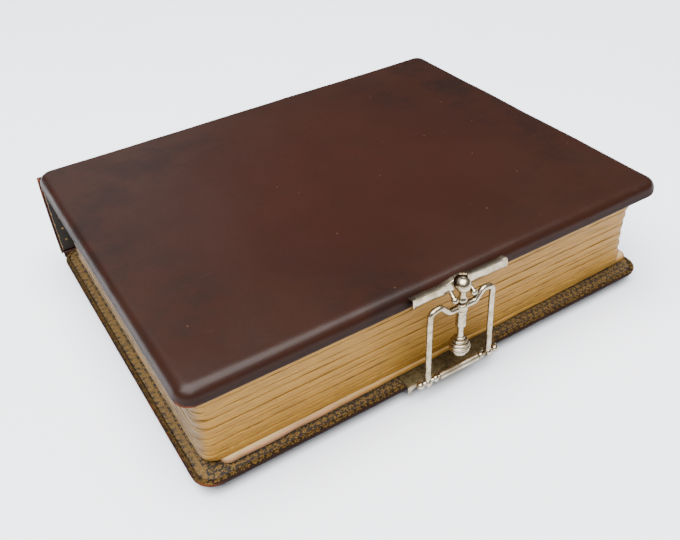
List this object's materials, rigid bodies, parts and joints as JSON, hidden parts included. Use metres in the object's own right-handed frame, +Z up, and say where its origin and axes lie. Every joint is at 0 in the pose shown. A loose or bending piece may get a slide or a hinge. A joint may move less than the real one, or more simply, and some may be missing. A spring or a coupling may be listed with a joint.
{
  "type": "clasped album book",
  "caption": "Thick leather-bound book with padded covers, gilt card leaves and a sprung metal clasp on its fore-edge.",
  "frame": {"origin": "under the middle of the closed book, clasp and spine included, on the surface that it lies on", "axes": "+X along the spine, +Y from the clasp to the spine, +Z up through the covers"},
  "size_m": [0.277, 0.2324, 0.0675],
  "materials": {
    "leather": "polished dark brown leather",
    "patterned_paper": "black paper printed all over in dull gold",
    "board": "pressed board",
    "wadding": "felted wadding",
    "gilt_card": "cream card with gilt edges",
    "bare_card": "worn card with its gilding gone",
    "linen": "linen strip",
    "nickel": "satin nickel",
    "aged_plate": "tarnished sheet metal",
    "spring_steel": "spring wire"
  },
  "bodies": {
    "back_cover": {"back_board": "board", "back_cover_leather": "leather", "back_doublure": "patterned_paper", "back_joint_roll": "leather", "back_wadding": "wadding", "base_plate": "aged_plate", "block_lining": "linen", "fixed_guards": "linen", "front_joint_roll": "leather", "hinge_beads": "nickel", "hinge_pin": "nickel", "leaf_08": "gilt_card", "leaf_09": "gilt_card", "leaf_10": "gilt_card", "leaf_11": "gilt_card", "leaf_12": "gilt_card", "leaf_13": "gilt_card", "leaf_14": "gilt_card", "leaf_15": "gilt_card", "leaf_16": "gilt_card", "leaf_17": "gilt_card", "leaf_18": "gilt_card", "leaf_19": "gilt_card", "leaf_20": "gilt_card", "leaf_21": "gilt_card", "leaf_22": "gilt_card", "leaf_23": "gilt_card", "leaf_24": "gilt_card", "loose_card": "bare_card", "plate_rivets": "aged_plate", "spine_board": "board", "spine_leather": "leather", "spine_paper": "patterned_paper"},
    "front_cover": {"front_board": "board", "front_wadding": "wadding", "front_cover_leather": "leather", "front_doublure": "patterned_paper", "catch_bar": "nickel", "catch_prongs": "nickel", "bar_pins": "nickel"},
    "clasp_frame": {"clasp_frame": "nickel", "spring_sleeve": "nickel", "plunger_spring": "spring_steel"},
    "catch_pin": {"catch_rod": "nickel", "catch_ball": "nickel", "beehive_knob": "nickel"},
    "leaf_01": {"leaf_01": "gilt_card", "guard_01": "linen"},
    "leaf_02": {"leaf_02": "gilt_card", "guard_02": "linen"},
    "leaf_03": {"leaf_03": "gilt_card", "guard_03": "linen"},
    "leaf_04": {"leaf_04": "gilt_card", "guard_04": "linen"},
    "leaf_05": {"leaf_05": "gilt_card", "guard_05": "linen"},
    "leaf_06": {"leaf_06": "gilt_card", "guard_06": "linen"},
    "leaf_07": {"leaf_07": "gilt_card", "guard_07": "linen"}
  },
  "joints": [
    {"name": "front_cover_open", "type": "hinge", "parent": "back_cover", "child": "front_cover", "pos_m": [0, 0.1139, 0.0589], "axis": [-1, 0, 0], "range_deg": [0, 180]},
    {"name": "leaf_01_turn", "type": "hinge", "parent": "back_cover", "child": "leaf_01", "pos_m": [0, 0.10075, 0.05781], "axis": [-1, 0, 0], "range_deg": [0, 150.5]},
    {"name": "leaf_02_turn", "type": "hinge", "parent": "back_cover", "child": "leaf_02", "pos_m": [0, 0.10075, 0.05584], "axis": [-1, 0, 0], "range_deg": [0, 71.5]},
    {"name": "leaf_03_turn", "type": "hinge", "parent": "back_cover", "child": "leaf_03", "pos_m": [0, 0.10075, 0.05386], "axis": [-1, 0, 0], "range_deg": [0, 61.5]},
    {"name": "leaf_04_turn", "type": "hinge", "parent": "back_cover", "child": "leaf_04", "pos_m": [0, 0.10075, 0.05189], "axis": [-1, 0, 0], "range_deg": [0, 51.5]},
    {"name": "leaf_05_turn", "type": "hinge", "parent": "back_cover", "child": "leaf_05", "pos_m": [0, 0.10075, 0.04991], "axis": [-1, 0, 0], "range_deg": [0, 41.5]},
    {"name": "leaf_06_turn", "type": "hinge", "parent": "back_cover", "child": "leaf_06", "pos_m": [0, 0.10075, 0.04794], "axis": [-1, 0, 0], "range_deg": [0, 31.5]},
    {"name": "leaf_07_turn", "type": "hinge", "parent": "back_cover", "child": "leaf_07", "pos_m": [0, 0.10075, 0.04596], "axis": [-1, 0, 0], "range_deg": [0, 21.5]},
    {"name": "clasp_frame_swing", "type": "hinge", "parent": "back_cover", "child": "clasp_frame", "pos_m": [0, -0.11075, 0.0109], "axis": [1, 0, 0], "range_deg": [0, 95]},
    {"name": "catch_pin_slide", "type": "slide", "parent": "clasp_frame", "child": "catch_pin", "axis": [0, 0, 1], "range_m": [0, 0.004], "stiffness_N_per_m": 300, "springref_m": -0.003, "deforming": ["plunger_spring"]}
  ],
  "couplings": [
    {"joint": "leaf_01_turn", "follows": "front_cover_open", "ratio": 0.83333},
    {"joint": "leaf_02_turn", "follows": "front_cover_open", "ratio": 0.39444},
    {"joint": "leaf_03_turn", "follows": "front_cover_open", "ratio": 0.33889},
    {"joint": "leaf_04_turn", "follows": "front_cover_open", "ratio": 0.28333},
    {"joint": "leaf_05_turn", "follows": "front_cover_open", "ratio": 0.22778},
    {"joint": "leaf_06_turn", "follows": "front_cover_open", "ratio": 0.17222},
    {"joint": "leaf_07_turn", "follows": "front_cover_open", "ratio": 0.11667}
  ]
}
